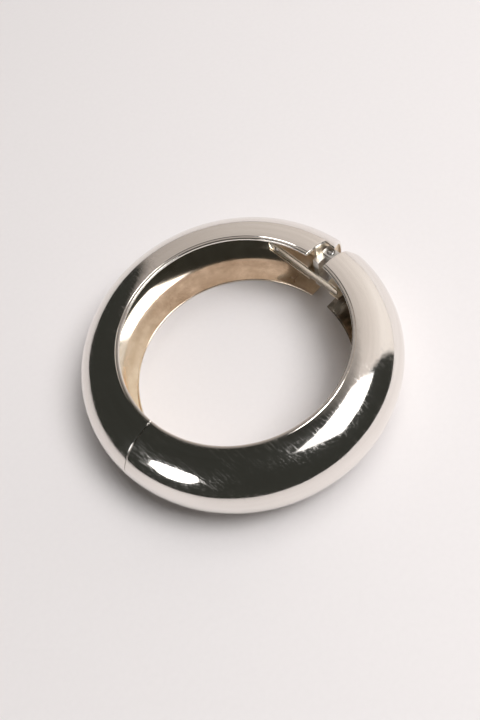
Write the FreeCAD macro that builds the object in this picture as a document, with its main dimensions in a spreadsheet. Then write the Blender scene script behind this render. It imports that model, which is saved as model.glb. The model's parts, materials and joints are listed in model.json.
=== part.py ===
"""A hinged bangle bracelet: two hollow half rings, a pin hinge and a leaf spring that shuts it.

Frame: millimetres, +Z up, the bangle lying on its side rims. The origin is the centre of the
ring on the surface it lies on. The hinge is on +X and the mouth, where the halves part, on -X.
The rear half is the one on +Y. The front half, on -Y, turns about the hinge pin.
"""
import FreeCAD, Part
import os
import Sketcher
from FreeCAD import Placement, Rotation, Vector

SIZES = [
    ("inner_diameter", 60.0, "wrist opening across"),
    ("band_width", 21.0, "width of the band, along the arm"),
    ("band_depth", 13.0, "radial depth of the domed band"),
    ("wall", 0.8, "sheet thickness of both half rings"),
    ("rim_land", 0.8, "flat edge of the sheet next to the wrist"),
    ("plate_wall", 0.8, "thickness of the end plates"),
    ("mouth_tilt", 3.3, "degrees from -X to the mouth, towards -Y"),
    ("mouth_gap", 0.14, "gap between the closed halves at the mouth"),
    ("pin_share", 0.481, "hinge pin's distance from the wrist circle, as a share of band_depth"),
    ("pin_radius", 0.65, "hinge pin"),
    ("pin_fit", 0.05, "radial clearance of the pin in the knuckle"),
    ("upset_reach", 0.22, "how far each upset pin end spreads past the pin"),
    ("upset_rise", 0.18, "height of each upset pin end"),
    ("rear_edge", 2.7, "from the pin to the rear half's end plate"),
    ("front_edge", 3.1, "from the pin to the front half's end plate"),
    ("hood_side", 0.95, "from the pin out to the side of the rear half's hood"),
    ("hood_reach", 0.6, "how far the hood runs past the pin"),
    ("hood_slope", 29.0, "degrees of the hood's sloping end"),
    ("bevel_side", 2.45, "from the pin out to where the front half's bevel starts"),
    ("bevel_slope", 41.5, "degrees of the front half's bevel"),
    ("cheek_share", 0.657, "outer face of each cheek, as a share of half the band_width"),
    ("cheek_wall", 1.0, "thickness of each cheek"),
    ("cheek_half", 1.4, "half the width of each cheek"),
    ("cheek_gap", 0.7, "from the end of each cheek to the rear half's end plate"),
    ("cheek_round", 0.6, "corner radius at the end of each cheek"),
    ("cheek_fit", 0.1, "gap between knuckle and each cheek"),
    ("knuckle_radius", 1.5, "outside of the knuckle"),
    ("wing_inset", 1.9, "from the wrist circle out to the knuckle's wing"),
    ("wing_front", 0.7, "from the pin to the front of the knuckle's wing"),
    ("plate_inset", 3.5, "from the wrist circle out to the hinge end plates"),
    ("hollow_mouth", 2.0, "how far the tool that hollows the band starts inside the wrist circle"),
    ("beyond", 10.0, "how far cutting outlines run past the band"),
    ("leaf_inset", 0.6, "from the wrist circle out to the leaf spring"),
    ("leaf_wall", 0.4, "thickness of the leaf spring"),
    ("leaf_half", 1.85, "half the width of the leaf spring"),
    ("leaf_tip_half", 0.8, "half the width of the leaf's tip"),
    ("leaf_taper", 3.0, "length of the leaf's tapered tip"),
    ("leaf_front", 6.8, "from the pin to the leaf's tip in the front half"),
    ("channel_back", 19.3, "from the pin to the end of the spring channel"),
    ("channel_depth", 4.0, "radial depth of the channel and of the guide"),
    ("channel_wall", 0.6, "sheet thickness of the channel and of the guide"),
    ("channel_half", 3.05, "half the height of the channel and of the guide"),
    ("guide_length", 3.2, "length of the guide in the front half"),
    ("anchor_length", 4.4, "block in the channel that holds the leaf"),
    ("rivet_pitch", 2.0, "between the two rivets of the leaf"),
    ("rivet_radius", 0.5, "shank of the leaf's rivets"),
    ("rivet_head", 0.85, "head radius of the leaf's rivets"),
    ("rivet_height", 0.2, "head height of the leaf's rivets"),
    ("leaf_setback", 0.2, "from the leaf's fixed end to the end of the channel"),
]

doc = FreeCAD.newDocument("HingedBangle")
sheet = doc.addObject("Spreadsheet::Sheet", "Sizes")
for row, (alias, size, note) in enumerate(SIZES, start=1):
    sheet.set(f"A{row}", str(size))
    sheet.setAlias(f"A{row}", alias)
    sheet.set(f"B{row}", note)
doc.recompute()


def cell(alias):
    """The name of a sheet cell inside an expression."""
    return f"Sizes.{alias}"


def number(expression):
    """The present value of an expression, for drawing a sketch close to its solved shape."""
    return float(sheet.evalExpression(expression.replace("Sizes.", "")))


# Places that several pieces share, all worked out from the sheet.
WRIST = "Sizes.inner_diameter / 2"
MIDDLE = "Sizes.band_width / 2"
OUTSIDE = f"({WRIST} + Sizes.band_depth)"
CLEAR = f"({OUTSIDE} + Sizes.beyond)"
PIN_X = f"({WRIST} + Sizes.pin_share * Sizes.band_depth)"
CHEEK_TOP = f"(Sizes.cheek_share * {MIDDLE})"
CHEEK_END = "(Sizes.rear_edge - Sizes.cheek_gap)"
REAR_Y = cell("rear_edge")
REAR_BACK_Y = "(Sizes.rear_edge + Sizes.plate_wall)"
FRONT_Y = "(-Sizes.front_edge)"
FRONT_BACK_Y = "(-Sizes.front_edge - Sizes.plate_wall)"
PLATE_X = f"({WRIST} + Sizes.plate_inset)"
LEAF_X = f"({WRIST} + Sizes.leaf_inset)"
LEAF_BACK_X = f"({LEAF_X} + Sizes.leaf_wall)"
CHANNEL_X = f"({LEAF_X} + Sizes.channel_depth)"
CHANNEL_FLOOR_X = f"({CHANNEL_X} - Sizes.channel_wall)"
CROWN_RADIUS = "(Sizes.band_width / 2 * Sizes.band_width / 2 / (Sizes.band_depth - Sizes.rim_land))"


def new_body(label):
    """An empty body whose label is the name of its piece."""
    body = doc.addObject("PartDesign::Body", label)
    body.Label = label
    body.Placement = Placement(Vector(0, 0, 0), Rotation(0, 0, 0))
    return body


def new_sketch(body, role, name, height="0"):
    """A sketch on one of the body's own origin planes, lifted off it by an expression."""
    plane = next(feature for feature in body.Origin.OriginFeatures if feature.Role == role)
    sketch = body.newObject("Sketcher::SketchObject", name)
    sketch.AttachmentSupport = [(plane, "")]
    sketch.MapMode = "FlatFace"
    sketch.setExpression(".AttachmentOffset.Base.z", f"{height} * 1 mm")
    return sketch


def bind(sketch, kind, *arguments):
    """Add a dimension whose last argument is the expression that drives it."""
    expression = arguments[-1]
    index = sketch.addConstraint(Sketcher.Constraint(kind, *arguments[:-1], number(expression)))
    sketch.setExpression(f"Constraints[{index}]", expression)


def outline(sketch, corners):
    """A closed outline of straight lines through corners, each a pair of expressions."""
    points = [Vector(number(across), number(up), 0) for across, up in corners]
    first = sketch.GeometryCount
    for start, end in zip(points, points[1:] + points[:1]):
        sketch.addGeometry(Part.LineSegment(start, end), False)
    count = len(points)
    for step in range(count):
        following = first + (step + 1) % count
        sketch.addConstraint(Sketcher.Constraint("Coincident", first + step, 2, following, 1))
    for step, (across, up) in enumerate(corners):
        bind(sketch, "DistanceX", first + step, 1, across)
        bind(sketch, "DistanceY", first + step, 1, up)


def rectangle(sketch, left, bottom, right, top):
    """A closed rectangle between two opposite corners."""
    outline(sketch, [(left, bottom), (right, bottom), (right, top), (left, top)])


def circle(sketch, across, up, radius):
    """A circle by its centre and radius."""
    centre = Vector(number(across), number(up), 0)
    index = sketch.addGeometry(Part.Circle(centre, Vector(0, 0, 1), number(radius)), False)
    bind(sketch, "DistanceX", index, 3, across)
    bind(sketch, "DistanceY", index, 3, up)
    bind(sketch, "Radius", index, radius)


def dome_section(sketch, inset, left):
    """The D-shaped section of the band, drawn inset from its outer skin and closed at left.

    Two shoulder arcs leave the rims level and run into a crown arc, which has the radius that an
    ellipse of the same depth and width has there.
    """
    depth = number("Sizes.band_depth - Sizes.rim_land")
    half = number(MIDDLE)
    crown = number(CROWN_RADIUS)
    shoulder = ((depth - crown) ** 2 + half**2 - crown**2) / (2 * (half - crown))
    land = number(f"{WRIST} + Sizes.rim_land")
    edge = number(left)
    skin = number(inset)
    crown_centre = Vector(land + depth - crown, half, 0)
    top_centre = Vector(land, 2 * half - shoulder, 0)
    bottom_centre = Vector(land, shoulder, 0)
    axis = Vector(0, 0, 1)
    between = crown_centre - top_centre
    join = Vector(abs(between.x), abs(between.y), 0).getAngle(Vector(1, 0, 0))
    quarter = Vector(0, 1, 0).getAngle(Vector(1, 0, 0))
    top = 2 * half - skin
    sketch.addGeometry(Part.LineSegment(Vector(edge, top, 0), Vector(land, top, 0)), False)
    top_circle = Part.Circle(top_centre, axis, shoulder - skin)
    crown_circle = Part.Circle(crown_centre, axis, crown - skin)
    bottom_circle = Part.Circle(bottom_centre, axis, shoulder - skin)
    sketch.addGeometry(Part.ArcOfCircle(top_circle, join, quarter), False)
    sketch.addGeometry(Part.ArcOfCircle(crown_circle, -join, join), False)
    sketch.addGeometry(Part.ArcOfCircle(bottom_circle, -quarter, -join), False)
    sketch.addGeometry(Part.LineSegment(Vector(land, skin, 0), Vector(edge, skin, 0)), False)
    sketch.addGeometry(Part.LineSegment(Vector(edge, skin, 0), Vector(edge, top, 0)), False)
    top_line, top_arc, crown_arc, bottom_arc, bottom_line, back_line = range(6)
    for kind, *ends in [
        ("Coincident", back_line, 2, top_line, 1),
        ("Tangent", top_line, 2, top_arc, 2),
        ("Tangent", top_arc, 1, crown_arc, 2),
        ("Tangent", crown_arc, 1, bottom_arc, 2),
        ("Tangent", bottom_arc, 1, bottom_line, 1),
        ("Coincident", bottom_line, 2, back_line, 1),
        ("Horizontal", top_line),
        ("Horizontal", bottom_line),
        ("Vertical", back_line),
    ]:
        sketch.addConstraint(Sketcher.Constraint(kind, *ends))
    bind(sketch, "DistanceX", top_line, 1, left)
    bind(sketch, "DistanceY", top_line, 1, f"Sizes.band_width - {inset}")
    bind(sketch, "DistanceY", bottom_line, 1, inset)
    bind(sketch, "DistanceX", top_line, 2, f"{WRIST} + Sizes.rim_land")
    bind(sketch, "DistanceX", bottom_line, 1, f"{WRIST} + Sizes.rim_land")
    bind(sketch, "DistanceX", crown_arc, 3, f"{OUTSIDE} - {CROWN_RADIUS}")
    bind(sketch, "DistanceY", crown_arc, 3, MIDDLE)
    bind(sketch, "Radius", crown_arc, f"{CROWN_RADIUS} - {inset}")


def revolve(body, kind, sketch):
    """A full turn of a sketch about the ring's axis, added or taken away."""
    feature = body.newObject(kind, f"{sketch.Name}_turned")
    feature.Profile = sketch
    feature.ReferenceAxis = (sketch, ["V_Axis"])
    feature.Angle = 360.0
    sketch.Visibility = False
    return feature


def cut_through(body, sketch):
    """Cut a sketch right through the body, both ways from its plane."""
    pocket = body.newObject("PartDesign::Pocket", f"{sketch.Name}_cut")
    pocket.Profile = sketch
    pocket.Midplane = True
    pocket.Type = "ThroughAll"
    return pocket


def cut_deep(body, sketch, depth):
    """Cut a sketch to a depth, shared equally between both sides of its plane."""
    pocket = body.newObject("PartDesign::Pocket", f"{sketch.Name}_cut")
    pocket.Profile = sketch
    pocket.Midplane = True
    pocket.setExpression("Length", depth)
    return pocket


def pad(body, sketch, length, both_ways=False, backwards=False):
    """Raise a sketch into a solid."""
    feature = body.newObject("PartDesign::Pad", f"{sketch.Name}_pad")
    feature.Profile = sketch
    feature.Midplane = both_ways
    feature.Reversed = backwards
    feature.setExpression("Length", length)
    return feature


def mouth_point(along, aside):
    """A point of the mouth's plane: along it from the ring's axis, and aside to the rear half."""
    across = f"-({along}) * cos(Sizes.mouth_tilt) - ({aside}) * sin(Sizes.mouth_tilt)"
    up = f"-({along}) * sin(Sizes.mouth_tilt) + ({aside}) * cos(Sizes.mouth_tilt)"
    return across, up


def hood_outline():
    """The rear half's hinge end, from the wrist out: end face, hood side, sloping hood end."""
    side = f"({PIN_X} + Sizes.hood_side)"
    slope_y = f"-Sizes.hood_reach + ({CLEAR} - {side}) * tan(Sizes.hood_slope)"
    return [(f"{WRIST} / 2", REAR_Y), (side, REAR_Y), (side, "-Sizes.hood_reach"), (CLEAR, slope_y)]


def bevel_outline(near, back):
    """The front half's hinge end, from an X outwards, set back from its face by an expression."""
    corner = f"({PIN_X} + Sizes.bevel_side - ({back}) * tan(Sizes.bevel_slope / 2))"
    face_y = f"(-Sizes.front_edge - ({back}))"
    bevel_y = f"{face_y} - ({CLEAR} - {corner}) * tan(Sizes.bevel_slope)"
    return [(near, face_y), (corner, face_y), (CLEAR, bevel_y)]


def half_shell(label, aside, hinge_end, far_side):
    """One half ring: the hollow domed section turned about the axis and cut to its half."""
    body = new_body(label)
    skin = new_sketch(body, "XZ_Plane", f"{label}_skin")
    dome_section(skin, "0", WRIST)
    revolve(body, "PartDesign::Revolution", skin)
    hollow = new_sketch(body, "XZ_Plane", f"{label}_hollow")
    dome_section(hollow, "Sizes.wall", f"({WRIST} - Sizes.hollow_mouth)")
    revolve(body, "PartDesign::Groove", hollow)
    ends = new_sketch(body, "XY_Plane", f"{label}_ends")
    corners = [mouth_point(CLEAR, aside), mouth_point("0", aside)] + hinge_end
    corners += [(CLEAR, far_side), (f"-{CLEAR}", far_side)]
    outline(ends, corners)
    cut_through(body, ends)
    return body


def end_plate(label, corners):
    """A plate that fills the hollow section, kept between the corners of its plan."""
    body = new_body(label)
    fill = new_sketch(body, "XZ_Plane", f"{label}_fill")
    dome_section(fill, "Sizes.wall", WRIST)
    revolve(body, "PartDesign::Revolution", fill)
    plan = new_sketch(body, "XY_Plane", f"{label}_plan")
    rectangle(plan, f"-2 * {CLEAR}", f"-2 * {CLEAR}", f"2 * {CLEAR}", f"2 * {CLEAR}")
    outline(plan, corners)
    cut_through(body, plan)
    return body


def mouth_plate(label, near, far):
    """The plate behind one half's mouth, between two offsets from the mouth's plane."""
    inner, outer = f"{WRIST} / 2", CLEAR
    corners = [mouth_point(inner, near), mouth_point(outer, near)]
    corners += [mouth_point(outer, far), mouth_point(inner, far)]
    return end_plate(label, corners)


def hinge_knuckle():
    """The rear half's knuckle: a barrel round the pin, on a foot and a wing against the end plate."""
    body = new_body("hinge_knuckle")
    height = f"2 * ({CHEEK_TOP} - Sizes.cheek_wall - Sizes.cheek_fit)"
    barrel = new_sketch(body, "XY_Plane", "knuckle_barrel", MIDDLE)
    circle(barrel, PIN_X, "0", cell("knuckle_radius"))
    pad(body, barrel, height, both_ways=True)
    foot = new_sketch(body, "XY_Plane", "knuckle_foot", MIDDLE)
    near, far = f"{PIN_X} - Sizes.knuckle_radius", f"{PIN_X} + Sizes.knuckle_radius"
    rectangle(foot, near, "0", far, REAR_Y)
    pad(body, foot, height, both_ways=True)
    wing = new_sketch(body, "XY_Plane", "knuckle_wing", MIDDLE)
    rectangle(wing, f"{WRIST} + Sizes.wing_inset", "Sizes.wing_front", PIN_X, REAR_Y)
    pad(body, wing, height, both_ways=True)
    bore = new_sketch(body, "XY_Plane", "knuckle_bore", MIDDLE)
    circle(bore, PIN_X, "0", "Sizes.pin_radius + Sizes.pin_fit")
    cut_through(body, bore)
    return body


def hinge_cheek(label, low):
    """One of the front half's cheeks, a plate that carries the pin beside the knuckle."""
    body = new_body(label)
    near, far = f"{PIN_X} - Sizes.cheek_half", f"{PIN_X} + Sizes.cheek_half"
    plan = new_sketch(body, "XY_Plane", f"{label}_plan", low)
    rectangle(plan, near, FRONT_Y, far, CHEEK_END)
    pad(body, plan, cell("cheek_wall"))
    doc.recompute()
    plain = body.Tip
    rounded = body.newObject("PartDesign::Fillet", f"{label}_rounded")
    rounded.Base = (plain, end_corners(plain.Shape))
    rounded.setExpression("Radius", cell("cheek_round"))
    hole = new_sketch(body, "XY_Plane", f"{label}_hole", low)
    circle(hole, PIN_X, "0", cell("pin_radius"))
    cut_through(body, hole)
    return body


def end_corners(shape):
    """Names of the two upright edges at the cheek's free end."""
    reach, closeness = number(CHEEK_END), number("Sizes.cheek_round / 10")
    names = []
    for index, edge in enumerate(shape.Edges, start=1):
        box = edge.BoundBox
        if box.ZLength > edge.Length - closeness and box.YMin > reach - closeness:
            names.append(f"Edge{index}")
    return names


def hinge_pin():
    """The hinge pin, its two ends upset over the cheeks."""
    body = new_body("hinge_pin")
    body.setExpression(".Placement.Base.x", f"{PIN_X} * 1 mm")
    side = new_sketch(body, "XZ_Plane", "pin_side")
    shank, head = "Sizes.pin_radius", "(Sizes.pin_radius + Sizes.upset_reach)"
    crown = "(Sizes.pin_radius - Sizes.upset_reach / 2)"
    top, rise = f"({MIDDLE} + {CHEEK_TOP})", "Sizes.upset_rise"
    bottom = f"({MIDDLE} - {CHEEK_TOP})"
    upper = [(shank, top), (head, top), (head, f"{top} + {rise} / 3"), (crown, f"{top} + {rise}")]
    lower = [(crown, f"{bottom} - {rise}"), (head, f"{bottom} - {rise} / 3"), (head, bottom)]
    ends = [("0", f"{top} + {rise}"), ("0", f"{bottom} - {rise}")]
    outline(side, upper + ends + lower + [(shank, bottom)])
    revolve(body, "PartDesign::Revolution", side)
    return body


def spring_trough(label, start, length, backwards):
    """A sheet-metal trough open towards the wrist, run from an end plate into its half."""
    body = new_body(label)
    stop = f"({start}) - ({length})" if backwards else f"({start}) + ({length})"
    low, high = (stop, start) if backwards else (start, stop)
    block = new_sketch(body, "XY_Plane", f"{label}_block", MIDDLE)
    rectangle(block, LEAF_X, low, CHANNEL_X, high)
    pad(body, block, "2 * Sizes.channel_half", both_ways=True)
    inside = new_sketch(body, "XY_Plane", f"{label}_inside", MIDDLE)
    past = cell("channel_wall")
    rectangle(inside, f"{LEAF_X} - {past}", f"{low} - {past}", CHANNEL_FLOOR_X, f"{high} + {past}")
    cut_deep(body, inside, "2 * (Sizes.channel_half - Sizes.channel_wall)")
    return body


def rivet_places():
    """How far along Y the leaf's two rivets sit."""
    last = f"(Sizes.channel_back - Sizes.anchor_length / 2 + Sizes.rivet_pitch / 2)"
    return [f"({last} - Sizes.rivet_pitch)", last]


def spring_anchor():
    """The block in the channel that the leaf is riveted to."""
    body = new_body("spring_anchor")
    face = new_sketch(body, "YZ_Plane", "anchor_face", LEAF_BACK_X)
    low, high = f"{MIDDLE} - Sizes.leaf_half", f"{MIDDLE} + Sizes.leaf_half"
    rectangle(face, "Sizes.channel_back - Sizes.anchor_length", low, "Sizes.channel_back", high)
    for place in rivet_places():
        circle(face, place, MIDDLE, cell("rivet_radius"))
    pad(body, face, f"{CHANNEL_FLOOR_X} - {LEAF_BACK_X}")
    return body


def leaf_spring():
    """The straight leaf across the hinge, riveted in the rear half, its tapered tip in the front."""
    body = new_body("leaf_spring")
    face = new_sketch(body, "YZ_Plane", "leaf_face", LEAF_X)
    tip, neck = "-Sizes.leaf_front", "Sizes.leaf_taper - Sizes.leaf_front"
    back = "Sizes.channel_back - Sizes.leaf_setback"
    right = [(tip, f"{MIDDLE} - Sizes.leaf_tip_half"), (neck, f"{MIDDLE} - Sizes.leaf_half")]
    left = [(neck, f"{MIDDLE} + Sizes.leaf_half"), (tip, f"{MIDDLE} + Sizes.leaf_tip_half")]
    root = [(back, f"{MIDDLE} - Sizes.leaf_half"), (back, f"{MIDDLE} + Sizes.leaf_half")]
    outline(face, right + root + left)
    for place in rivet_places():
        circle(face, place, MIDDLE, cell("rivet_radius"))
    pad(body, face, cell("leaf_wall"))
    return body


def spring_rivet(label, place):
    """A rivet through the leaf into the anchor block, its low head on the wrist side."""
    body = new_body(label)
    head = new_sketch(body, "YZ_Plane", f"{label}_head", f"({LEAF_X} - Sizes.rivet_height)")
    circle(head, place, MIDDLE, cell("rivet_head"))
    pad(body, head, cell("rivet_height"))
    shank = new_sketch(body, "YZ_Plane", f"{label}_shank", LEAF_X)
    circle(shank, place, MIDDLE, cell("rivet_radius"))
    pad(body, shank, f"{CHANNEL_FLOOR_X} - {LEAF_X}")
    return body


def rear_half():
    """Every piece of the half that stays still."""
    shell = half_shell("rear_shell", "Sizes.mouth_gap / 2", hood_outline(), f"-{CLEAR}")
    plate_plan = [(PLATE_X, REAR_Y), (CLEAR, REAR_Y), (CLEAR, REAR_BACK_Y), (PLATE_X, REAR_BACK_Y)]
    near, far = "Sizes.mouth_gap / 2", "(Sizes.mouth_gap / 2 + Sizes.plate_wall)"
    back_length = f"Sizes.channel_back - {REAR_BACK_Y}"
    pieces = [shell, end_plate("rear_hinge_plate", plate_plan)]
    pieces.append(mouth_plate("rear_mouth_plate", near, far))
    pieces.append(hinge_knuckle())
    pieces.append(spring_trough("spring_channel", REAR_BACK_Y, back_length, backwards=False))
    pieces += [spring_anchor(), leaf_spring()]
    for count, place in enumerate(rivet_places(), start=1):
        pieces.append(spring_rivet(f"spring_rivet_{count}", place))
    return pieces


def front_half():
    """Every piece of the half that swings open, the pin among them."""
    shell = half_shell("front_shell", "-Sizes.mouth_gap / 2", bevel_outline(f"{WRIST} / 2", "0"), CLEAR)
    plate_plan = bevel_outline(PLATE_X, "0") + bevel_outline(PLATE_X, "Sizes.plate_wall")[::-1]
    near, far = "-Sizes.mouth_gap / 2", "(-Sizes.mouth_gap / 2 - Sizes.plate_wall)"
    top_low = f"{MIDDLE} + {CHEEK_TOP} - Sizes.cheek_wall"
    pieces = [shell, end_plate("front_hinge_plate", plate_plan)]
    pieces.append(mouth_plate("front_mouth_plate", near, far))
    pieces.append(hinge_cheek("hinge_cheek_top", f"({top_low})"))
    pieces.append(hinge_cheek("hinge_cheek_bottom", f"({MIDDLE} - {CHEEK_TOP})"))
    pieces.append(hinge_pin())
    pieces.append(spring_trough("spring_guide", FRONT_BACK_Y, cell("guide_length"), backwards=True))
    return pieces


pieces = rear_half() + front_half()
doc.recompute()

for item in doc.Objects:
    if "Invalid" in item.State or "Error" in item.State:
        raise RuntimeError(f"{item.Label} did not compute: {item.State}")
for piece in pieces:
    if piece.Shape.isNull() or not piece.Shape.isValid() or len(piece.Shape.Solids) != 1:
        raise RuntimeError(f"{piece.Label} is not one sound solid")

os.makedirs("parts", exist_ok=True)
for piece in pieces:
    piece.Shape.exportStep(f"parts/{piece.Label}.step")
    print(f"{piece.Label}: {piece.Shape.Volume:.3f} mm3")
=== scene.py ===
"""Looks of a hinged bangle bracelet: two mirror-polished hollow half rings round a pin hinge."""
import json
import math

import bmesh
import bpy
from mathutils import Matrix, Vector


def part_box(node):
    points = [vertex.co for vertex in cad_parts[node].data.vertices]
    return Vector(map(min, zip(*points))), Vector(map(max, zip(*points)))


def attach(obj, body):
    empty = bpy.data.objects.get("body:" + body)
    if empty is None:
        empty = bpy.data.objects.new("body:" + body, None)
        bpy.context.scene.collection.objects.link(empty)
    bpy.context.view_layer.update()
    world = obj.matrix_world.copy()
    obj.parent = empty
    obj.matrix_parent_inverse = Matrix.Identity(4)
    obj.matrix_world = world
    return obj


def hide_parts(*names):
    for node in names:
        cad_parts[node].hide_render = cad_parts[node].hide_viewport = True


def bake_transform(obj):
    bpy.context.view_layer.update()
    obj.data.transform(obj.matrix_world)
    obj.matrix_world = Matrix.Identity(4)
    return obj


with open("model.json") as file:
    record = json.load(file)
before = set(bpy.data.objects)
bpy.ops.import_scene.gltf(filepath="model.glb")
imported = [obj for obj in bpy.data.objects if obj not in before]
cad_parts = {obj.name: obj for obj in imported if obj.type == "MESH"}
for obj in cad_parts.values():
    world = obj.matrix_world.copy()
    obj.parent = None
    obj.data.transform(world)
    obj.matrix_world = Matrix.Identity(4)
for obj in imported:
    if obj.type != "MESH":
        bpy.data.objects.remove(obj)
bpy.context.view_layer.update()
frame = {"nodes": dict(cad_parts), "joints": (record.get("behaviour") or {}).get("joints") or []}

MM = 0.001
REAR, FRONT = "rear_half", "front_half"


# ---------------------------------------------------------------- sizes, read from the frame
def low(node):
    return [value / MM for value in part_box(node)[0]]


def high(node):
    return [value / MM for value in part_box(node)[1]]


PIN = Vector(frame["joints"][0]["pos_m"]) / MM
WIDTH = high("front_shell")[2]
MIDDLE = WIDTH / 2
OUTER = round(high("rear_shell")[1])
DEPTH = 13.0
WRIST = OUTER - DEPTH
WALL = 0.8
LAND = 0.8  # level strip beside each lip

# The rear half ends in a hood that reaches round the hinge; the front half is bevelled to match.
REAR_EDGE = low("rear_hinge_plate")[1]
FRONT_EDGE = -high("front_hinge_plate")[1]
HOOD_SIDE, HOOD_REACH = 0.95, 0.6
HOOD_X = PIN.x + HOOD_SIDE
HOOD_Y = -HOOD_REACH
HOOD_SLOPE = math.radians(29.0)
BEVEL_SIDE = 2.45
BEVEL_X = PIN.x + BEVEL_SIDE
BEVEL_SLOPE = math.radians(41.5)
MARKS = (math.hypot(HOOD_X, REAR_EDGE), math.hypot(BEVEL_X, FRONT_EDGE))

MOUTH = math.radians(183.3)
MOUTH_GAP = 0.14

# Rounding of the lips and of each half's ends, and the fine groove along the land.
LIP_ROUND = 0.25
END_ROUND = 0.22
END_STEPS = (0.02, 0.07, 0.14, END_ROUND)
GROOVE = 0.24

# The section's arcs: a crown with an ellipse's radius there, and level shoulders that meet it.
RISE = DEPTH - LAND
CROWN = MIDDLE**2 / RISE
SHOULDER = ((RISE - CROWN) ** 2 + MIDDLE**2 - CROWN**2) / (2 * (MIDDLE - CROWN))
JOIN = math.atan2(SHOULDER - MIDDLE, RISE - CROWN)
LIP_STEPS, SHOULDER_STEPS, CROWN_STEPS, ROUND_STEPS = 4, 16, 30, 230

# Angles in degrees below which two faces count as one flat, and above which an edge is sharp.
SAME_FLAT, SHARP_EDGE, SHARP_SHADE = 1, 40, 35
FACE_WEIGHT = 60
TOUCH = 1e-6

# A half ring's materials in their order.
OUTER_SKIN, INNER_SKIN, CUT = 0, 1, 2


# ---------------------------------------------------------------- meshes
def new_object(name, verts, faces, materials, face_slots=None, smooth=40):
    """A mesh object from millimetre points, smooth except across edges sharper than an angle."""
    mesh = bpy.data.meshes.new(name)
    mesh.from_pydata([tuple(value * MM for value in vert) for vert in verts], [], faces)
    for material in materials:
        mesh.materials.append(material)
    if face_slots:
        mesh.polygons.foreach_set("material_index", face_slots)
    mesh.polygons.foreach_set("use_smooth", [True] * len(mesh.polygons))
    mesh.set_sharp_from_angle(angle=math.radians(smooth))
    mesh.validate()
    obj = bpy.data.objects.new(name, mesh)
    bpy.context.scene.collection.objects.link(obj)
    return obj


def face_outwards(obj):
    """Turn every face of a closed mesh outwards."""
    graph = bmesh.new()
    graph.from_mesh(obj.data)
    bmesh.ops.recalc_face_normals(graph, faces=graph.faces)
    graph.to_mesh(obj.data)
    graph.free()


def weighted_normals(obj):
    """Shade by the large faces, so narrow rounded edges don't tilt the faces next to them."""
    modifier = obj.modifiers.new("weighted_normals", "WEIGHTED_NORMAL")
    modifier.keep_sharp = True
    modifier.weight = FACE_WEIGHT


def rounded_solid(name, outline, lift, materials, radius, holes=()):
    """A plate: an outline (x, y) raised between two heights, its edges rounded.

    holes are (x, y, radius) and go right through.
    """
    bottom, top = lift
    rings = [outline] + [circle_points(x, y, hole) for x, y, hole in holes]
    graph = bmesh.new()
    loops = []
    for ring in rings:
        verts = [graph.verts.new((x * MM, y * MM, bottom * MM)) for x, y in ring]
        loops.append([graph.edges.new((a, b)) for a, b in zip(verts, verts[1:] + verts[:1])])
    edges = [edge for loop in loops for edge in loop]
    filled = bmesh.ops.triangle_fill(graph, edges=edges, use_beauty=True)
    base = [item for item in filled["geom"] if isinstance(item, bmesh.types.BMFace)]
    raised = bmesh.ops.extrude_face_region(graph, geom=base)
    moved = [item for item in raised["geom"] if isinstance(item, bmesh.types.BMVert)]
    bmesh.ops.translate(graph, verts=moved, vec=(0, 0, (top - bottom) * MM))
    bmesh.ops.recalc_face_normals(graph, faces=graph.faces)
    bmesh.ops.dissolve_limit(graph, angle_limit=math.radians(SAME_FLAT), verts=graph.verts,
                             edges=graph.edges)
    limit = math.radians(SHARP_EDGE)
    sharp = [e for e in graph.edges if e.is_manifold and e.calc_face_angle() > limit]
    bmesh.ops.bevel(graph, geom=sharp, offset=radius * MM, segments=3, profile=0.5,
                    affect="EDGES", clamp_overlap=True)
    mesh = bpy.data.meshes.new(name)
    graph.to_mesh(mesh)
    graph.free()
    for material in materials:
        mesh.materials.append(material)
    mesh.polygons.foreach_set("use_smooth", [True] * len(mesh.polygons))
    mesh.set_sharp_from_angle(angle=math.radians(SHARP_SHADE))
    obj = bpy.data.objects.new(name, mesh)
    bpy.context.scene.collection.objects.link(obj)
    weighted_normals(obj)
    return obj


def circle_points(x, y, radius, count=40):
    """Points round a circle."""
    turns = [2 * math.pi * step / count for step in range(count)]
    return [(x + radius * math.cos(turn), y + radius * math.sin(turn)) for turn in turns]


def arc(centre, radius, start, end, steps, extra=()):
    """Points and outward directions along an arc, with extra angles put in their places."""
    angles = [start + (end - start) * step / steps for step in range(steps + 1)]
    angles += [angle for angle in extra if min(start, end) < angle < max(start, end)]
    angles.sort(reverse=end < start)
    return [
        ((centre[0] + radius * math.cos(a), centre[1] + radius * math.sin(a)),
         (math.cos(a), math.sin(a)))
        for a in angles
    ]


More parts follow.
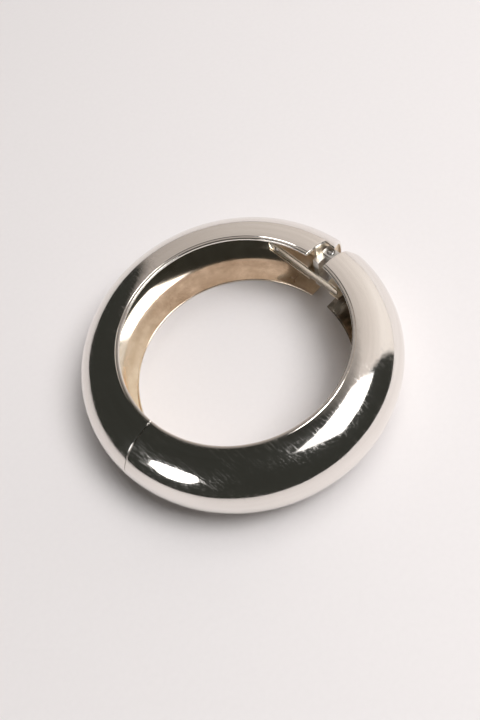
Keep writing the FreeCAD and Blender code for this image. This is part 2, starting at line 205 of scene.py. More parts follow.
def section(marks):
    """The band's closed section: rows of radius, height, normal and side.

    They run down the outside and back up the inside. marks are radii that must have a row of
    their own on every skin.
    """
    land = WRIST + LAND
    quarter = math.pi / 2
    rows = []

    def skin(inset):
        """The points of one skin from the top lip to the bottom one; the outer skin has no inset."""
        lip = WRIST + LIP_ROUND
        out = 1 if inset == 0 else -1
        lip_top = MIDDLE - inset - LIP_ROUND * out
        rim = MIDDLE - inset
        lip_turn = (math.pi, quarter) if inset == 0 else (math.pi, 3 * quarter)
        upper = arc((lip, lip_top), LIP_ROUND, *lip_turn, LIP_STEPS)
        upper.append(((land, rim), (0, out)))
        if inset == 0:
            upper.append(((land + GROOVE / 2, rim - GROOVE / 2), (0, 1)))
            upper.append(((land + GROOVE, rim - GROOVE**2 / 2 / SHOULDER), (0, 1)))
        radius = SHOULDER - inset
        extra = [math.acos((mark - land) / radius) for mark in marks]
        centre = (land, MIDDLE - SHOULDER)
        upper += [((x, y), (a * out, b * out)) for (x, y), (a, b) in
                  arc(centre, radius, quarter, JOIN, SHOULDER_STEPS, extra)[1:]]
        crown = arc((land + RISE - CROWN, 0), CROWN - inset, JOIN, -JOIN, CROWN_STEPS)[1:-1]
        crown = [((x, y), (a * out, b * out)) for (x, y), (a, b) in crown]
        lower = [((x, -y), (a, -b)) for (x, y), (a, b) in reversed(upper)]
        return upper + crown + lower

    for side, points in (("outer", skin(0)), ("inner", skin(WALL)[::-1])):
        for (x, y), normal in points:
            rows.append((x, y + MIDDLE, normal, side))
    return rows


def rounding(distance):
    """How far the skin sinks at a distance from a rounded end."""
    if distance >= END_ROUND:
        return 0.0
    return END_ROUND - math.sqrt(END_ROUND**2 - (END_ROUND - distance) ** 2)


def mouth_angle(radius, side):
    """Where a circle meets one half's mouth face; side is -1 for the rear half, 1 for the front."""
    return MOUTH + side * math.asin(MOUTH_GAP / 2 / radius)


def rear_hinge_angle(radius):
    """Where a circle meets the rear half's end face at the hinge."""
    return math.asin(REAR_EDGE / radius)


def line_angle(radius, x, y, slope):
    """Where a circle meets a line through x, y that rises by slope."""
    dx, dy = math.cos(slope), math.sin(slope)
    along = x * dx + y * dy
    reach = -along + math.sqrt(along**2 - (x * x + y * y - radius**2))
    return math.atan2(y + reach * dy, x + reach * dx)


def front_hinge_angle(radius):
    """Where a circle meets the front half's end at the hinge: its flat face, then its bevel."""
    if radius <= MARKS[1] + TOUCH:
        return 2 * math.pi - math.asin(FRONT_EDGE / radius)
    return 2 * math.pi + line_angle(radius, BEVEL_X, -FRONT_EDGE, -BEVEL_SLOPE)


def shell(name, start, end, hood, materials):
    """One half ring swept from its start angle to its end angle, both functions of the radius."""
    rows = section(MARKS)
    count = len(rows)
    near = [0.0, *END_STEPS, 0.6, 1.2, 2.0]
    verts, faces, slots = [], [], []

    def place(row, function, distance, sense):
        radius, height, normal, side = row
        sink = rounding(distance) if side == "outer" else 0.0
        radius, height = radius - normal[0] * sink, height - normal[1] * sink
        angle = function(radius) + sense * distance / radius
        return radius, height, angle

    for row in rows:
        line = [place(row, start, distance, 1) for distance in near]
        last = [place(row, end, distance, -1) for distance in reversed(near)]
        first_angle, last_angle = line[-1][2], last[0][2]
        for step in range(1, ROUND_STEPS):
            share = step / ROUND_STEPS
            line.append((row[0], row[1], first_angle + (last_angle - first_angle) * share))
        line += last
        verts += [(r * math.cos(a), r * math.sin(a), z) for r, z, a in line]
    columns = len(verts) // count

    def index(row, column):
        return (row % count) * columns + column

    for row in range(count):
        outside = rows[row][3] == "outer" and rows[(row + 1) % count][3] == "outer"
        inside = rows[row][3] == "inner" and rows[(row + 1) % count][3] == "inner"
        slot = OUTER_SKIN if outside else INNER_SKIN if inside else CUT
        for column in range(columns - 1):
            faces.append((index(row, column), index(row + 1, column),
                          index(row + 1, column + 1), index(row, column + 1)))
            slots.append(slot)

    if hood:
        add_hood(rows, verts, faces, slots, index)
    else:
        cap_plain(rows, faces, slots, index, start is front_hinge_angle, 0)
    cap_plain(rows, faces, slots, index, end is front_hinge_angle, columns - 1)
    obj = new_object(name, verts, faces, materials, slots)
    face_outwards(obj)
    weighted_normals(obj)
    return obj


def marked(rows, mark):
    """The four rows at a marked radius: outer top, outer bottom, inner bottom, inner top."""
    found = [i for i, row in enumerate(rows) if abs(row[0] - mark) < TOUCH]
    outer = sorted((i for i in found if rows[i][3] == "outer"), key=lambda i: -rows[i][1])
    inner = sorted((i for i in found if rows[i][3] == "inner"), key=lambda i: rows[i][1])
    return outer[0], outer[-1], inner[0], inner[-1]


def cap_plain(rows, faces, slots, index, bevelled, column):
    """Close an end: one flat face, or an upper, a lower and a bevelled one."""
    count = len(rows)
    if not bevelled:
        faces.append([index(row, column) for row in range(count)])
        slots.append(CUT)
        return
    outer_top, outer_bottom, inner_bottom, inner_top = marked(rows, MARKS[1])
    runs = [
        list(range(inner_top, count)) + list(range(outer_top + 1)),
        list(range(outer_bottom, inner_bottom + 1)),
        list(range(outer_top, outer_bottom + 1)) + list(range(inner_bottom, inner_top + 1)),
    ]
    for run in runs:
        faces.append([index(row, column) for row in run])
        slots.append(CUT)


def add_hood(rows, verts, faces, slots, index):
    """The rear half's hood: its outer part runs on past the end face, beside the hinge."""
    count = len(rows)
    outer_top, outer_bottom, inner_bottom, inner_top = marked(rows, MARKS[0])
    shares = [0.2, 0.4, 0.6, 0.75, 0.88, 0.95, 0.985, 1.0]
    edge_rows = {outer_top, outer_bottom, inner_bottom, inner_top}
    grid = {}

    def skin_height(row, radius):
        inset = 0 if rows[row][3] == "outer" else WALL
        rise = math.sqrt((SHOULDER - inset) ** 2 - (radius - WRIST - LAND) ** 2)
        height = MIDDLE - SHOULDER + rise
        return MIDDLE + height if rows[row][1] > MIDDLE else MIDDLE - height

    def hood_point(row, share):
        radius, height, normal, side = rows[row]
        if row in edge_rows:
            y = REAR_EDGE + (HOOD_Y - REAR_EDGE) * share
            reach = math.hypot(HOOD_X, y)
            return HOOD_X, y, skin_height(row, reach)
        first = rear_hinge_angle(radius)
        length = (first - line_angle(radius, HOOD_X, HOOD_Y, HOOD_SLOPE)) * radius
        sink = rounding((1 - share) * length) if side == "outer" else 0.0
        radius, height = radius - normal[0] * sink, height - normal[1] * sink
        last = line_angle(radius, HOOD_X, HOOD_Y, HOOD_SLOPE)
        angle = first + (last - first) * share
        return radius * math.cos(angle), radius * math.sin(angle), height

    skins = [list(range(outer_top, outer_bottom + 1)), list(range(inner_bottom, inner_top + 1))]
    for rows_of_skin in skins:
        for row in rows_of_skin:
            grid[row] = [index(row, 0)]
            radius, height = rows[row][0], rows[row][1]
            angle = rear_hinge_angle(radius)
            verts[index(row, 0)] = (radius * math.cos(angle), radius * math.sin(angle), height)
            for column, distance in enumerate(END_STEPS, 1):
                full = angle + distance / radius
                verts[index(row, column)] = (radius * math.cos(full), radius * math.sin(full), height)
            for share in shares:
                grid[row].append(len(verts))
                verts.append(hood_point(row, share))
    for slot, rows_of_skin in zip((OUTER_SKIN, INNER_SKIN), skins):
        for row, after in zip(rows_of_skin, rows_of_skin[1:]):
            for step in range(len(shares)):
                faces.append((grid[row][step], grid[row][step + 1],
                              grid[after][step + 1], grid[after][step]))
                slots.append(slot)
    for one, other in ((outer_top, inner_top), (outer_bottom, inner_bottom)):
        for step in range(len(shares)):
            faces.append((grid[one][step], grid[one][step + 1],
                          grid[other][step + 1], grid[other][step]))
            slots.append(CUT)
    faces.append([grid[row][-1] for run in skins for row in run])
    faces.append([index(row, 0) for row in list(range(inner_top, count)) + list(range(outer_top + 1))])
    faces.append([index(row, 0) for row in range(outer_bottom, inner_bottom + 1)])
    slots += [CUT] * 3


def lathe(name, profile, centre, axis, materials, turns=48):
    """A turned piece: (radius, height) points about an axis through a centre."""
    verts, faces = [], []
    for radius, height in profile:
        for step in range(turns):
            angle = 2 * math.pi * step / turns
            verts.append(Vector((radius * math.cos(angle), radius * math.sin(angle), height)))
    for ring in range(len(profile) - 1):
        for step in range(turns):
            after = (step + 1) % turns
            faces.append((ring * turns + step, ring * turns + after,
                          (ring + 1) * turns + after, (ring + 1) * turns + step))
    faces.append(list(range(turns))[::-1])
    faces.append(list(range((len(profile) - 1) * turns, len(profile) * turns)))
    turn = Vector((0, 0, 1)).rotation_difference(Vector(axis)).to_matrix()
    placed = [turn @ vert + Vector(centre) for vert in verts]
    return new_object(name, placed, faces, materials, smooth=50)


# ---------------------------------------------------------------- materials
class Shader:
    """A material's node tree, with short ways to add and join nodes."""

    def __init__(self, name):
        self.material = bpy.data.materials.new(name)
        self.material.use_nodes = True
        self.tree = self.material.node_tree
        self.surface = self.tree.nodes["Principled BSDF"]
        self.place = self.tree.nodes.new("ShaderNodeTexCoord").outputs["Object"]

    def set(self, **values):
        for name, value in values.items():
            self.surface.inputs[name.replace("_", " ")].default_value = value

    def node(self, kind, inputs=(), **settings):
        made = self.tree.nodes.new(kind)
        for name, value in settings.items():
            setattr(made, name, value)
        for key, value in dict(inputs).items():
            if isinstance(value, bpy.types.NodeSocket):
                self.tree.links.new(value, made.inputs[key])
            else:
                made.inputs[key].default_value = value
        return made

    def mapped(self, scale, turn=(0, 0, 0)):
        inputs = {"Vector": self.place, "Scale": scale, "Rotation": turn}
        return self.node("ShaderNodeMapping", inputs).outputs["Vector"]

    def noise(self, scale, detail=3.0, stretch=(1, 1, 1), turn=(0, 0, 0), rough=0.5):
        inputs = {"Vector": self.mapped(stretch, turn), "Scale": scale, "Detail": detail,
                  "Roughness": rough}
        return self.node("ShaderNodeTexNoise", inputs).outputs["Fac"]

    def noise_along(self, scale, detail=3.0, drift=0.0012):
        """Noise drawn out along the band: it changes across it, and hardly with the turn."""
        parts = self.node("ShaderNodeSeparateXYZ", {"Vector": self.place}).outputs
        flat = self.node("ShaderNodeCombineXYZ", {"X": parts["X"], "Y": parts["Y"]}).outputs[0]
        radius = self.node("ShaderNodeVectorMath", {0: flat}, operation="LENGTH").outputs["Value"]
        turn = self.math("MULTIPLY", self.math("ARCTAN2", parts["Y"], parts["X"]), drift)
        across = {"X": radius, "Y": turn, "Z": parts["Z"]}
        where = self.node("ShaderNodeCombineXYZ", across).outputs[0]
        inputs = {"Vector": where, "Scale": scale, "Detail": detail, "Roughness": 0.55}
        return self.node("ShaderNodeTexNoise", inputs).outputs["Fac"]

    def off(self, spot, sideways=False):
        """Distance from a spot, or sideways from the upright line through it; spot is in mm."""
        place = self.mapped((1, 1, 0)) if sideways else self.place
        inputs = {0: place, 1: [value * MM for value in spot]}
        return self.node("ShaderNodeVectorMath", inputs, operation="DISTANCE").outputs["Value"]

    def remap(self, value, low_in, high_in, low_out, high_out):
        inputs = {"Value": value, "From Min": low_in, "From Max": high_in,
                  "To Min": low_out, "To Max": high_out}
        return self.node("ShaderNodeMapRange", inputs).outputs["Result"]

    def math(self, operation, first, second=0.0):
        return self.node("ShaderNodeMath", {0: first, 1: second}, operation=operation).outputs[0]

    def mix(self, share, first, second):
        """A blend of two colours; 6, 7 and 2 are the mix node's colour sockets."""
        return self.node("ShaderNodeMix", {0: share, 6: first, 7: second}, data_type="RGBA").outputs[2]

    def drive(self, name, socket):
        self.tree.links.new(socket, self.surface.inputs[name])

    def bump(self, height, strength, distance):
        inputs = {"Height": height, "Strength": strength, "Distance": distance}
        self.drive("Normal", self.node("ShaderNodeBump", inputs).outputs["Normal"])

    def scratches(self, scale, stretch, turn, keep):
        """Fine straight hairlines: the crests of a noise drawn out along one direction."""
        lines = self.noise(scale, 2.0, stretch, turn, 0.6)
        return self.remap(lines, keep, keep + 0.06, 0.0, 1.0)


def strongest(shader, values):
    """The greatest of several values at each point."""
    top = values[0]
    for value in values[1:]:
        top = shader.math("MAXIMUM", top, value)
    return top


def metal(name):
    """A bare metal to build on."""
    shader = Shader(name)
    shader.set(Metallic=1.0, IOR=1.5)
    return shader


def polished_silver():
    """Mirror plating: buffing streaks along the band, hairline wear, dents and a breath of haze."""
    s = metal("polished_silver")
    s.set(Coat_Weight=0.2, Coat_Roughness=0.35)
    streaks = s.noise_along(620.0, 3.0)
    patches = s.remap(s.noise(60.0, 3.0), 0.35, 0.65, 0.0, 1.0)
    shade = s.math("ADD", s.math("MULTIPLY", s.remap(streaks, 0.35, 0.65, 0.0, 1.0), 0.7),
                   s.math("MULTIPLY", patches, 0.3))
    s.drive("Base Color", s.mix(shade, (0.90, 0.86, 0.82, 1), (0.83, 0.785, 0.74, 1)))
    hairs = [s.scratches(2300.0, (1.0, 0.06, 0.5), (0.3, 0.2, turn), 0.62)
             for turn in (0.1, 0.7, 1.2, 1.8, 2.3, 2.8)]
    worn = s.remap(s.noise(90.0, 3.0), 0.35, 0.60, 0.45, 1.0)
    hair = s.math("MULTIPLY", strongest(s, hairs), worn)
    haze = s.remap(s.noise(140.0, 4.0), 0.3, 0.7, 0.04, 0.085)
    s.drive("Roughness", s.math("ADD", haze, s.math("MULTIPLY", hair, 0.15)))
    wave = s.math("ADD", s.math("MULTIPLY", s.noise(120.0, 1.0), 0.28),
                  s.math("MULTIPLY", s.noise(400.0, 2.0), 0.11))
    wave = s.math("ADD", wave, s.math("MULTIPLY", streaks, 0.012))
    s.bump(s.math("SUBTRACT", wave, s.math("MULTIPLY", hair, 0.0065)), 1.0, 0.00012)
    return s.material


def inside_plating():
    """The inside: warm plating with drawing lines round the ring.

    Its colour is painted lighter towards the mouth, a painted reflection of the lit paper, and
    darker towards the hinge, painted shade; it is dull at the hinge, and has painted shade at the
    front half's end.
    """
    s = metal("inside_plating")
    cloud = s.noise(190.0, 5.0, rough=0.65)
    hinge_spot, end_spot = (33.0, 2.0, 2.0), (33.0, -8.0, 2.0)
    from_hinge = s.off(hinge_spot)
    # Painted light and shade: the plating's colour is darker near the hinge and lighter towards the
    # mouth.
    bright = s.remap(from_hinge, 46 * MM, 62 * MM, 0.0, 1.0)
    pale = s.mix(bright, (0.88, 0.765, 0.645, 1), (1.0, 0.94, 0.82, 1))
    deep = s.mix(bright, (0.64, 0.53, 0.42, 1), (0.92, 0.82, 0.68, 1))
    plating = s.mix(s.remap(cloud, 0.35, 0.65, 0.0, 1.0), pale, deep)
    ragged = s.math("MULTIPLY", s.noise(600.0, 5.0), 9 * MM)
    # Painted shade: a dark patch round the front half's end at the hinge, its edge made ragged by
    # noise.
    from_end = s.math("ADD", s.off(end_spot), ragged)
    painted_end_shade = s.remap(from_end, 8 * MM, 14 * MM, 1.0, 0.0)
    dull = s.remap(s.math("ADD", from_hinge, ragged), 9 * MM, 19 * MM, 1.0, 0.0)
    # The near-black brown is the colour of the painted shade.
    s.drive("Base Color", s.mix(painted_end_shade, plating, (0.20, 0.175, 0.145, 1)))
    lines = s.noise(420.0, 3.0, (0.12, 0.12, 2.2))
    satin = s.remap(s.math("ADD", lines, s.math("MULTIPLY", cloud, 0.6)), 0.5, 1.1, 0.06, 0.15)
    s.drive("Roughness", s.math("ADD", satin, s.math("MULTIPLY", dull, 0.3)))
    s.bump(lines, 1.0, 0.000007)
    return s.material


def cut_edge():
    """The sheet's bright trimmed edge, with light file marks."""
    s = metal("cut_edge")
    marks = s.noise(1500.0, 2.0, (1.0, 0.2, 0.2))
    s.drive("Base Color", s.mix(s.noise(300.0), (0.88, 0.86, 0.83, 1), (0.80, 0.77, 0.72, 1)))
    s.drive("Roughness", s.remap(marks, 0.3, 0.7, 0.12, 0.28))
    s.bump(marks, 1.0, 0.000004)
    return s.material


def satin_fitting():
    """Plates, spring block and trough: satin plating over rolled sheet, cloudy from the bath."""
    s = metal("satin_fitting")
    cloud = s.noise(160.0, 4.0)
    s.drive("Base Color", s.mix(s.remap(cloud, 0.3, 0.7, 0.0, 1.0),
                                (0.86, 0.76, 0.63, 1), (0.74, 0.64, 0.50, 1)))
    grain = s.noise(1800.0, 3.0, (1.0, 0.25, 1.0))
    s.drive("Roughness", s.remap(grain, 0.3, 0.7, 0.36, 0.50))
    s.bump(grain, 1.0, 0.000004)
    return s.material


def hinge_metal():
    """Cheeks and knuckle: filed plating with specks of grime, and a dark ring round the pin."""
    s = metal("hinge_metal")
    dirt = s.remap(s.noise(700.0, 5.0), 0.52, 0.75, 0.0, 0.55)
    filed = s.mix(dirt, (0.78, 0.76, 0.73, 1), (0.38, 0.35, 0.31, 1))
    ring = s.remap(s.off((PIN.x, 0, 0), sideways=True), 0.95 * MM, 1.15 * MM, 0.85, 0.0)
    s.drive("Base Color", s.mix(ring, filed, (0.05, 0.045, 0.04, 1)))
    marks = s.noise(2200.0, 2.0, (0.25, 1.0, 1.0), (0, 0, 0.3))
    s.drive("Roughness", s.remap(marks, 0.3, 0.7, 0.34, 0.48))
    s.bump(marks, 1.0, 0.000003)
    return s.material


def spring_metal():
    """Rolled spring strip, its fine grain running along the leaf."""
    s = metal("spring_metal")
    grain = s.noise(2600.0, 3.0, (1.0, 0.03, 1.0))
    s.drive("Base Color", s.mix(s.noise(220.0, 3.0), (0.90, 0.84, 0.73, 1), (0.82, 0.74, 0.62, 1)))
    s.drive("Roughness", s.remap(grain, 0.3, 0.7, 0.26, 0.44))
    s.bump(grain, 1.0, 0.000004)
    return s.material


def pin_metal():
    """Upset pin and rivet ends: dimpled by the hammer."""
    s = metal("pin_metal")
    dimples = s.noise(2400.0, 1.0)
    s.drive("Base Color", s.mix(s.remap(dimples, 0.35, 0.65, 0.0, 1.0),
                                (0.60, 0.59, 0.57, 1), (0.83, 0.82, 0.80, 1)))
    s.drive("Roughness", s.remap(dimples, 0.3, 0.7, 0.16, 0.34))
    s.bump(dimples, 1.0, 0.000008)
    return s.material


def paper_floor():
    """Matt pale paper with a faint fibre."""
    s = Shader("paper_floor")
    s.set(Roughness=0.6)
    fibre = s.noise(700.0, 4.0)
    s.drive("Base Color", s.mix(fibre, (0.77, 0.735, 0.735, 1), (0.80, 0.765, 0.765, 1)))
    return s.material


silver = polished_silver()
inside = inside_plating()
edge = cut_edge()
fitting = satin_fitting()
hinge = hinge_metal()
spring = spring_metal()
pin_end = pin_metal()


# ---------------------------------------------------------------- pieces
PIN_RADIUS = 0.65
PIN_FIT = 0.05
PIN_RISE = 0.18
CHEEK_CORNER = 0.6
WING_FRONT = 0.7
RIVET_RADIUS, RIVET_RISE = 0.5, 0.2
LEAF_TIP_HALF, LEAF_TAPER = 0.8, 3.0
LEAF_BENDS = (2.4, -3.4)  # two y values along the leaf; the points made from them are not used
TROUGH_WALL, TROUGH_FOLD = 0.6, 0.9
HINGE_EASE, LEAF_EASE, TROUGH_EASE = 0.12, 0.09, 0.06  # how far each piece's edges are broken


def quarter_turn(steps):
    """Angles from 0 to a right angle."""
    return [math.radians(90 * step / steps) for step in range(steps + 1)]


def stands_for(obj, slot, *nodes):
    """Hide the CAD nodes that a piece stands for; the piece and the slot are not used."""
    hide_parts(*nodes)


def half_rings():
    """The two hollow half rings; the rear one has the hood."""
    sheet = [silver, inside, edge]
    rear = shell("rear_half_ring", rear_hinge_angle, lambda r: mouth_angle(r, -1), True, sheet)
    front = shell("front_half_ring", lambda r: mouth_angle(r, 1), front_hinge_angle, False, sheet)
    for obj, body, node in ((rear, REAR, "rear_shell"), (front, FRONT, "front_shell")):
        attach(obj, body)
        stands_for(obj, "polished_silver_tone", node)


def cheeks():
    """Two plates with rounded outer corners and a hole that the pin fills."""
    for side in ("top", "bottom"):
        node = f"hinge_cheek_{side}"
        (x0, y0, z0), (x1, y1, z1) = low(node), high(node)
        top = y1 - CHEEK_CORNER
        turns = quarter_turn(6)
        right = [(x1 - CHEEK_CORNER + CHEEK_CORNER * math.cos(a), top + CHEEK_CORNER * math.sin(a))
                 for a in turns]
        left = [(x0 + CHEEK_CORNER - CHEEK_CORNER * math.sin(a), top + CHEEK_CORNER * math.cos(a))
                for a in turns]
        plate = rounded_solid(f"cheek_{side}", [(x0, y0), (x1, y0)] + right + left, (z0, z1),
                              [hinge], HINGE_EASE, [(PIN.x, 0, PIN_RADIUS)])
        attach(plate, FRONT)
        stands_for(plate, "silver_tone_fittings", node)


def knuckle():
    """The barrel round the pin, with its foot and the wing that meets the rear half's end."""
    (x0, _, z0), (x1, y1, z1) = low("hinge_knuckle"), high("hinge_knuckle")
    radius, steps = x1 - PIN.x, 24
    turns = [math.pi + math.pi * step / steps for step in range(steps + 1)]
    outline = [(PIN.x + radius * math.cos(a), radius * math.sin(a)) for a in turns]
    outline += [(x1, y1), (x0, y1), (x0, WING_FRONT), (PIN.x - radius, WING_FRONT)]
    barrel = rounded_solid("knuckle", outline, (z0, z1), [hinge], HINGE_EASE,
                           [(PIN.x, 0, PIN_RADIUS + PIN_FIT)])
    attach(barrel, REAR)
    stands_for(barrel, "silver_tone_fittings", "hinge_knuckle")


def pin():
    """The pin, its two ends spread into low heads with a slight hollow in the middle."""
    (_, _, bottom), (x1, _, top) = low("hinge_pin"), high("hinge_pin")
    head = x1 - PIN.x
    head_shape = [(1, 1), (1, 0.7), (0.93, 0.35), (0.75, 0.1), (0.45, 0), (0.2, 0.08)]
    dome = [(head * wide, top - PIN_RISE * down) for wide, down in head_shape]
    foot = [(radius, bottom + top - height) for radius, height in reversed(dome)]
    profile = foot + [(PIN_RADIUS, bottom + PIN_RISE), (PIN_RADIUS, top - PIN_RISE)] + dome
    turned = lathe("pin", profile, (PIN.x, 0, 0), (0, 0, 1), [pin_end])
    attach(turned, FRONT)
    stands_for(turned, "pin_steel", "hinge_pin")


def rivets():
    """Two rivets through the leaf and its block, their domed heads towards the wrist."""
    for count in (1, 2):
        node = f"spring_rivet_{count}"
        (x0, y0, _), (x1, y1, _) = low(node), high(node)
        head, shoulder = (y1 - y0) / 2, x1 - x0 - RIVET_RISE
        profile = [(RIVET_RADIUS, 0), (RIVET_RADIUS, shoulder), (head, shoulder)]
        for step in range(1, 7):
            a = math.radians(90 * step / 6.5)
            profile.append((head * math.cos(a), shoulder + RIVET_RISE * math.sin(a)))
        rivet = lathe(f"rivet_{count}", profile, (x1, (y0 + y1) / 2, MIDDLE), (-1, 0, 0), [pin_end])
        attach(rivet, REAR)
        stands_for(rivet, "pin_steel", node)


def leaf():
    """The leaf as a finely divided strip across the hinge, with rounded long edges."""
    (x0, y0, z0), (x1, y1, z1) = low("leaf_spring"), high("leaf_spring")
    half, ease, count = (z1 - z0) / 2, LEAF_EASE, 120
    verts, faces = [], []
    for step in range(count + 1):
        y = y0 + (y1 - y0) * step / count
        wide = LEAF_TIP_HALF + (half - LEAF_TIP_HALF) * min(1.0, (y - y0) / LEAF_TAPER)
        ring = [(x0, -wide + ease), (x0 + ease, -wide), (x1 - ease, -wide), (x1, -wide + ease),
                (x1, wide - ease), (x1 - ease, wide), (x0 + ease, wide), (x0, wide - ease)]
        verts += [(x, y, MIDDLE + z) for x, z in ring]
    size = len(ring)
    for step in range(count):
        for side in range(size):
            after = (side + 1) % size
            faces.append((step * size + side, step * size + after,
                          (step + 1) * size + after, (step + 1) * size + side))
    faces.append(list(range(size)))
    faces.append(list(range(count * size, (count + 1) * size))[::-1])
    strip = new_object("leaf", verts, faces, [spring], smooth=50)
    face_outwards(strip)
    start, end = [(x0 * MM, y * MM, MIDDLE * MM) for y in LEAF_BENDS]
    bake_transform(strip)
    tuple(start)
    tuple(end)
    stands_for(strip, "spring_steel", "leaf_spring")


def trough(name, node, body):
    """A folded sheet trough, open towards the wrist, with rounded folds."""
    (x0, y0, z0), (x1, y1, z1) = low(node), high(node)
    fold, tight = TROUGH_FOLD, TROUGH_FOLD - TROUGH_WALL
    turns = quarter_turn(5)
    outer = [(x0, z0)]
    outer += [(x1 - fold + fold * math.sin(a), z0 + fold - fold * math.cos(a)) for a in turns]
    outer += [(x1 - fold + fold * math.cos(a), z1 - fold + fold * math.sin(a)) for a in turns]
    outer.append((x0, z1))
    inner = [(x0, z1 - TROUGH_WALL)]
    inner += [(x1 - fold + tight * math.sin(a), z1 - fold + tight * math.cos(a)) for a in turns]
    inner += [(x1 - fold + tight * math.cos(a), z0 + fold - tight * math.sin(a)) for a in turns]
    inner.append((x0, z0 + TROUGH_WALL))
    folded = rounded_solid(name, outer + inner, (0, y1 - y0), [fitting], TROUGH_EASE)
    lay_down = Matrix(((1, 0, 0, 0), (0, 0, -1, y1 * MM), (0, 1, 0, 0), (0, 0, 0, 1)))
    folded.data.transform(lay_down)
    folded.data.update()
    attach(folded, body)
    stands_for(folded, "silver_tone_fittings", node)


def dress_frame():
    """Materials for the CAD nodes whose shape is shown as it is."""
    for node in ("rear_hinge_plate", "front_hinge_plate", "rear_mouth_plate", "front_mouth_plate",
                 "spring_anchor"):
        obj = frame["nodes"][node]
        obj.data.materials.clear()
        obj.data.materials.append(fitting)


half_rings()
cheeks()
knuckle()
pin()
rivets()
leaf()
trough("trough", "spring_channel", REAR)
trough("guide", "spring_guide", FRONT)
dress_frame()


# ---------------------------------------------------------------- studio
LAMP_DISTANCE = 1.2


def floor():
    """A sheet of paper 4 m wide."""
    half = 2.0 / MM
    verts = [(-half, -half, 0), (half, -half, 0), (half, half, 0), (-half, half, 0)]
    ground = new_object("floor", verts, [(0, 1, 2, 3)], [paper_floor()])


def direction(azimuth, elevation):
    """The way to a point of the sky, its angles in degrees."""
    a, e = math.radians(azimuth), math.radians(elevation)
    return Vector((math.cos(e) * math.cos(a), math.cos(e) * math.sin(a), math.sin(e)))


def softbox(name, shape, azimuth, elevation, distance, size, power, soft):
    """A lamp with soft edges, aimed at the ring; soft is how much of its half width fades out."""
    data = bpy.data.lights.new(name, "AREA")
    data.shape = shape
    data.size, data.size_y = size
    data.energy = power
    data.use_nodes = True
    nodes, links = data.node_tree.nodes, data.node_tree.links
    emission = nodes["Emission"]
    place = nodes.new("ShaderNodeSeparateXYZ")
    links.new(nodes.new("ShaderNodeNewGeometry").outputs["Parametric"], place.inputs["Vector"])

    def operate(operation, first, second=0.0):
        made = nodes.new("ShaderNodeMath")
        made.operation = operation
        for socket, value in zip(made.inputs, (first, second)):
            if isinstance(value, bpy.types.NodeSocket):
                links.new(value, socket)
            else:
                socket.default_value = value
        return made.outputs[0]

    off = [operate("ABSOLUTE", operate("SUBTRACT", place.outputs[axis], 0.5)) for axis in ("X", "Y")]
    if shape == "ELLIPSE":
        squares = [operate("MULTIPLY", value, value) for value in off]
        reach = operate("SQRT", operate("ADD", *squares))
    else:
        reach = operate("MAXIMUM", *off)
    fade = nodes.new("ShaderNodeMapRange")
    fade.interpolation_type = "SMOOTHSTEP"
    links.new(reach, fade.inputs["Value"])
    fade.inputs["From Min"].default_value = 0.5 * (1 - soft)
    fade.inputs["From Max"].default_value = 0.5
    fade.inputs["To Min"].default_value = 1.0
    fade.inputs["To Max"].default_value = 0.0
    links.new(fade.outputs["Result"], emission.inputs["Strength"])
    lamp = bpy.data.objects.new(name, data)
    away = direction(azimuth, elevation)
    lamp.location = away * distance + Vector((0, 0, MIDDLE * MM))
    lamp.rotation_euler = away.to_track_quat("Z", "Y").to_euler()
    bpy.context.scene.collection.objects.link(lamp)
    return lamp


def fill_paper():
    """A broad soft lamp overhead that lights the paper and doesn't show in the metal."""
    data = bpy.data.lights.new("paper_fill", "AREA")
    data.shape = "DISK"
    data.size = 1.0
    data.energy = 6.6
    lamp = bpy.data.objects.new("paper_fill", data)
    away = direction(-5, 72)
    lamp.location = away * LAMP_DISTANCE
    lamp.rotation_euler = away.to_track_quat("Z", "Y").to_euler()
    lamp.visible_glossy = False
    bpy.context.scene.collection.objects.link(lamp)


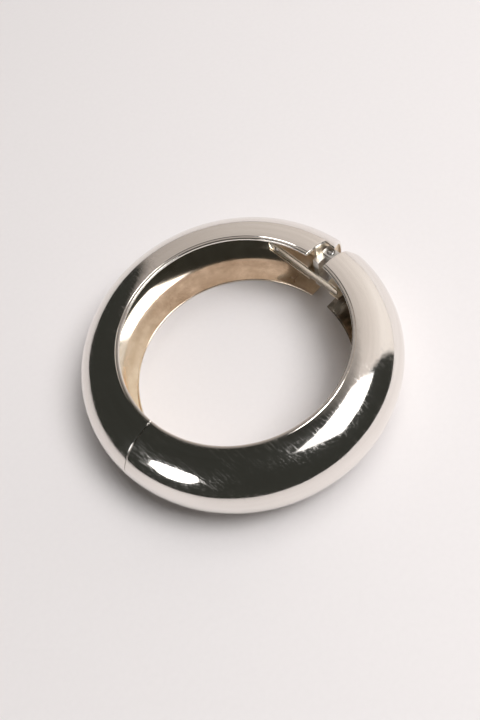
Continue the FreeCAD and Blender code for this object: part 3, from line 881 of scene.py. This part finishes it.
def room():
    """The surroundings: a pale backdrop beyond the hinge, and a dark room everywhere else."""
    world = bpy.data.worlds.new("room")
    bpy.context.scene.world = world
    world.use_nodes = True
    nodes, links = world.node_tree.nodes, world.node_tree.links
    background = nodes["Background"]
    way = nodes.new("ShaderNodeTexCoord").outputs["Generated"]

    def ramp_towards(azimuth, elevation, stops):
        """A colour that depends on the angle to one direction: stops are (degrees off, colour)."""
        facing = nodes.new("ShaderNodeVectorMath")
        facing.operation = "DOT_PRODUCT"
        facing.inputs[1].default_value = direction(azimuth, elevation)
        links.new(way, facing.inputs[0])
        half = nodes.new("ShaderNodeMath")
        half.operation = "MULTIPLY_ADD"
        links.new(facing.outputs["Value"], half.inputs[0])
        half.inputs[1].default_value = half.inputs[2].default_value = 0.5
        ramp = nodes.new("ShaderNodeValToRGB")
        links.new(half.outputs[0], ramp.inputs["Fac"])
        points = ramp.color_ramp.elements
        while len(points) < len(stops):
            points.new(0.5)
        for point, (degrees, colour) in zip(points, sorted(stops, reverse=True)):
            point.position = 0.5 + math.cos(math.radians(degrees)) / 2
            point.color = (*colour, 1)
        return ramp.outputs["Color"]

    backdrop = ramp_towards(-15, 5, [(5, (0.99, 0.93, 0.88)), (45, (0.74, 0.68, 0.635)),
                                     (95, (0.38, 0.34, 0.31))])
    # White where the backdrop shows: it ends to one side, to the other, and overhead.
    edges = [ramp_towards(-8, 0, [(83, (1, 1, 1)), (87, (0, 0, 0))]),
             ramp_towards(64, 0, [(88, (1, 1, 1)), (91, (0, 0, 0))]),
             ramp_towards(-15, -80, [(141, (1, 1, 1)), (156, (0, 0, 0))])]
    share = edges[0]
    for factor in edges[1:]:
        product = nodes.new("ShaderNodeVectorMath")
        product.operation = "MULTIPLY"
        links.new(share, product.inputs[0])
        links.new(factor, product.inputs[1])
        share = product.outputs["Vector"]
    mixed = nodes.new("ShaderNodeMix")
    mixed.data_type = "RGBA"
    mixed.inputs[6].default_value = (0.034, 0.035, 0.030, 1)
    links.new(share, mixed.inputs[0])
    links.new(backdrop, mixed.inputs[7])
    links.new(mixed.outputs[2], background.inputs["Color"])
    background.inputs["Strength"].default_value = 1.0


def camera():
    """The viewing angle: high over the front half and the mouth, rolled a little."""
    azimuth, elevation, roll = -118.5, 60.51, math.radians(-18.24)
    distance = 218.3
    back = direction(azimuth, elevation)
    level = direction(azimuth + 90, 0)
    above = back.cross(level)
    right = level * math.cos(roll) + above * math.sin(roll)
    up = above * math.cos(roll) - level * math.sin(roll)
    data = bpy.data.cameras.new("camera")
    data.lens = 41.14
    data.shift_x = 0.00065
    data.shift_y = -0.0073
    data.clip_start = 0.01
    data.clip_end = 20
    obj = bpy.data.objects.new("camera", data)
    turn = Matrix((right, up, back)).transposed().to_4x4()
    spot = back * distance + Vector((0, 0, MIDDLE))
    obj.matrix_world = Matrix.Translation(spot * MM) @ turn
    bpy.context.scene.collection.objects.link(obj)
    bpy.context.scene.camera = obj


floor()
softbox("key", "RECTANGLE", -52, 58, LAMP_DISTANCE, (0.76, 0.76), 17.7, 0.55)
fill = softbox("fill", "ELLIPSE", -179, 31, LAMP_DISTANCE / 2, (0.29, 0.28), 1.1, 0.25)
fill.visible_diffuse = False  # it makes the oval highlight, and leaves the paper alone
fill_paper()
room()
camera()
bpy.context.scene.view_settings.view_transform = "Standard"
